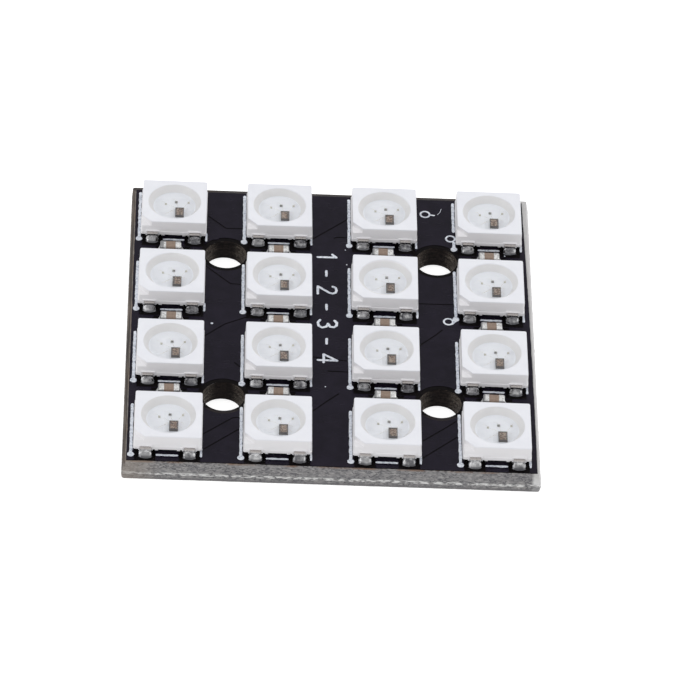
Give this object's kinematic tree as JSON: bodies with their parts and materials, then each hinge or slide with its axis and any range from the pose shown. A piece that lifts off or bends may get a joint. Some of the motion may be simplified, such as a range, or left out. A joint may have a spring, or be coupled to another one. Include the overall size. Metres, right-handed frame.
{
  "type": "rgb led matrix panel",
  "caption": "Small square circuit board carrying a grid of white top-view colour LEDs with chip capacitors between the rows, screw holes and wire pads on the back.",
  "frame": {"origin": "middle of the circuit board's underside, which is also the middle of the screw hole pattern", "axes": "+Z out of the LED side, +X along the rows towards the output pads, +Y along the columns away from the cut corners' side"},
  "size_m": [0.0306, 0.0312, 0.0033],
  "materials": {
    "laminate": "glossy black solder resist over glass-epoxy laminate, bare grey-brown laminate on the edges",
    "housing": "white moulded plastic with tinned leads and bright solder",
    "lens": "clear cured silicone",
    "capacitor": "brown ceramic between tinned ends",
    "pad": "tinned copper"
  },
  "bodies": {
    "root": {"capacitor_r1c1": "capacitor", "capacitor_r1c2": "capacitor", "capacitor_r1c3": "capacitor", "capacitor_r1c4": "capacitor", "capacitor_r2c1": "capacitor", "capacitor_r2c2": "capacitor", "capacitor_r2c3": "capacitor", "capacitor_r2c4": "capacitor", "capacitor_r3c1": "capacitor", "capacitor_r3c2": "capacitor", "capacitor_r3c3": "capacitor", "capacitor_r3c4": "capacitor", "circuit_board": "laminate", "input_pad_1": "pad", "input_pad_2": "pad", "input_pad_3": "pad", "led_housing_r1c1": "housing", "led_housing_r1c2": "housing", "led_housing_r1c3": "housing", "led_housing_r1c4": "housing", "led_housing_r2c1": "housing", "led_housing_r2c2": "housing", "led_housing_r2c3": "housing", "led_housing_r2c4": "housing", "led_housing_r3c1": "housing", "led_housing_r3c2": "housing", "led_housing_r3c3": "housing", "led_housing_r3c4": "housing", "led_housing_r4c1": "housing", "led_housing_r4c2": "housing", "led_housing_r4c3": "housing", "led_housing_r4c4": "housing", "led_lens_r1c1": "lens", "led_lens_r1c2": "lens", "led_lens_r1c3": "lens", "led_lens_r1c4": "lens", "led_lens_r2c1": "lens", "led_lens_r2c2": "lens", "led_lens_r2c3": "lens", "led_lens_r2c4": "lens", "led_lens_r3c1": "lens", "led_lens_r3c2": "lens", "led_lens_r3c3": "lens", "led_lens_r3c4": "lens", "led_lens_r4c1": "lens", "led_lens_r4c2": "lens", "led_lens_r4c3": "lens", "led_lens_r4c4": "lens", "output_pad_1": "pad", "output_pad_2": "pad", "output_pad_3": "pad"}
  },
  "joints": []
}
